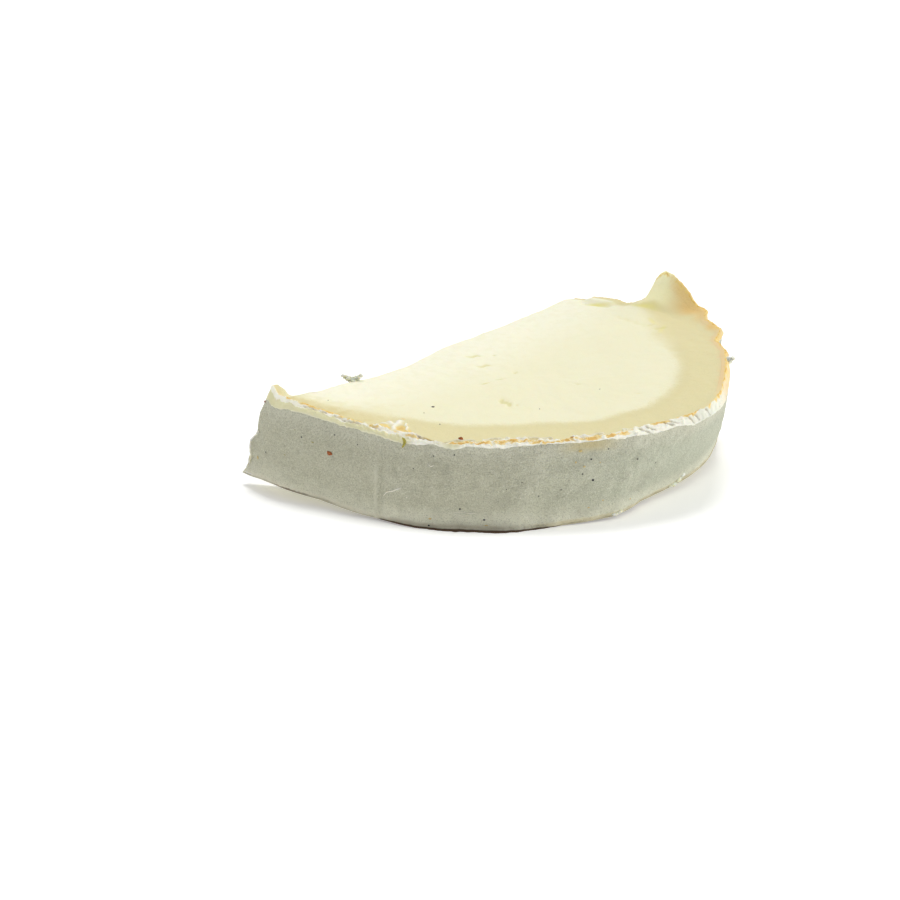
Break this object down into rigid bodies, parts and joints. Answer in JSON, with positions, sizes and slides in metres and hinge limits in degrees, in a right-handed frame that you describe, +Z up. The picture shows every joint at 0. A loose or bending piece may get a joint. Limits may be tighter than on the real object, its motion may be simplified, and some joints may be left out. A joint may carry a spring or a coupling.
{
  "type": "cheese wheel slice",
  "caption": "Thick slice of a round white-rinded soft cheese, cut straight across and lying on its cut face, with a creamy ring under the rind and one rim end curled up.",
  "frame": {"origin": "on the table under the middle of the slice's box", "axes": "+X to the right of the rind wall as seen from the front, +Y from the rind wall towards the straight cut's far end, +Z up out of the upper cut face"},
  "size_m": [0.101, 0.093, 0.0299],
  "materials": {
    "cheese": "dull, slightly moist"
  },
  "bodies": {
    "root": {"cheese_slice": "cheese"}
  },
  "joints": []
}
